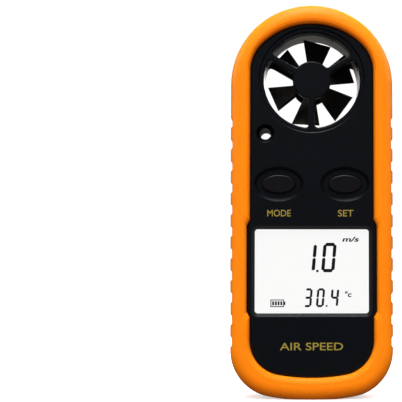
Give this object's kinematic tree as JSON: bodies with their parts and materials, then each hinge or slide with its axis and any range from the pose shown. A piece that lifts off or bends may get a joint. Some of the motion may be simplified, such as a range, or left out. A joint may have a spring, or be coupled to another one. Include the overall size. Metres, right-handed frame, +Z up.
{
  "type": "handheld weather meter",
  "caption": "Pocket vane anemometer: slim black case in an orange ribbed grip, vane in a round duct at the top, oval keys and a lit segment display.",
  "frame": {"origin": "on the flat foot under the bottom end, midway across the width and the depth", "axes": "+Z up along the meter, +Y to the back, so the display faces -Y, +X to the right seen from the front"},
  "size_m": [0.0432, 0.018, 0.105],
  "materials": {
    "orange_rubber": "satin orange over-moulded rubber",
    "black_abs": "fine spark-textured black ABS",
    "black_keys": "matte black keys",
    "vane_plastic": "smooth black vane moulding",
    "liner_metal": "thin drawn metal duct liner",
    "steel": "steel screws, axle and cell can",
    "brass": "brass bearings and contacts",
    "magnet": "sintered ring magnet",
    "clear_window": "clear display window",
    "display_face": "lit segment display",
    "white_plastic": "white display holder and backlight",
    "grey_rubber": "contact strips and sealing ring",
    "board_green": "green circuit board",
    "chip_black": "moulded chip and sensor packages",
    "wire_sleeve": "insulated leads"
  },
  "bodies": {
    "case": {"grip_sleeve": "orange_rubber", "front_shell": "black_abs", "back_shell": "black_abs", "case_screws": "steel", "front_cage": "black_abs", "back_cage": "black_abs", "duct_liner": "liner_metal", "front_bearing": "brass", "back_bearing": "brass", "spin_sensor": "chip_black", "sensor_leads": "wire_sleeve", "thermistor": "chip_black", "thermistor_leads": "wire_sleeve", "display_window": "clear_window", "display_glass": "display_face", "display_holder": "white_plastic", "backlight_panel": "white_plastic", "contact_strips": "grey_rubber", "key_switches": "chip_black", "circuit_board": "board_green", "board_screws": "steel", "controller_chip": "chip_black", "clock_crystal": "steel", "small_components": "chip_black", "coin_cell": "steel", "positive_contact": "brass", "negative_contact": "brass"},
    "vane": {"vane": "vane_plastic", "vane_axle": "steel", "vane_magnet": "magnet"},
    "mode_key": {"mode_key": "black_keys", "mode_plunger": "white_plastic"},
    "set_key": {"set_key": "black_keys", "set_plunger": "white_plastic"},
    "battery_cover": {"battery_cover": "black_abs", "cover_seal": "grey_rubber"}
  },
  "joints": [
    {"name": "vane_spin", "type": "hinge", "parent": "case", "child": "vane", "pos_m": [0, 0, 0.0846], "axis": [0, 1, 0], "continuous": true},
    {"name": "mode_press", "type": "slide", "parent": "case", "child": "mode_key", "axis": [0, 1, 0], "range_m": [0, 0.0005], "stiffness_N_per_m": 400, "springref_m": -0.0005},
    {"name": "set_press", "type": "slide", "parent": "case", "child": "set_key", "axis": [0, 1, 0], "range_m": [0, 0.0005], "stiffness_N_per_m": 400, "springref_m": -0.0005},
    {"name": "cover_turn", "type": "hinge", "parent": "case", "child": "battery_cover", "pos_m": [0, 0, 0.033], "axis": [0, 1, 0], "range_deg": [0, 60]}
  ]
}
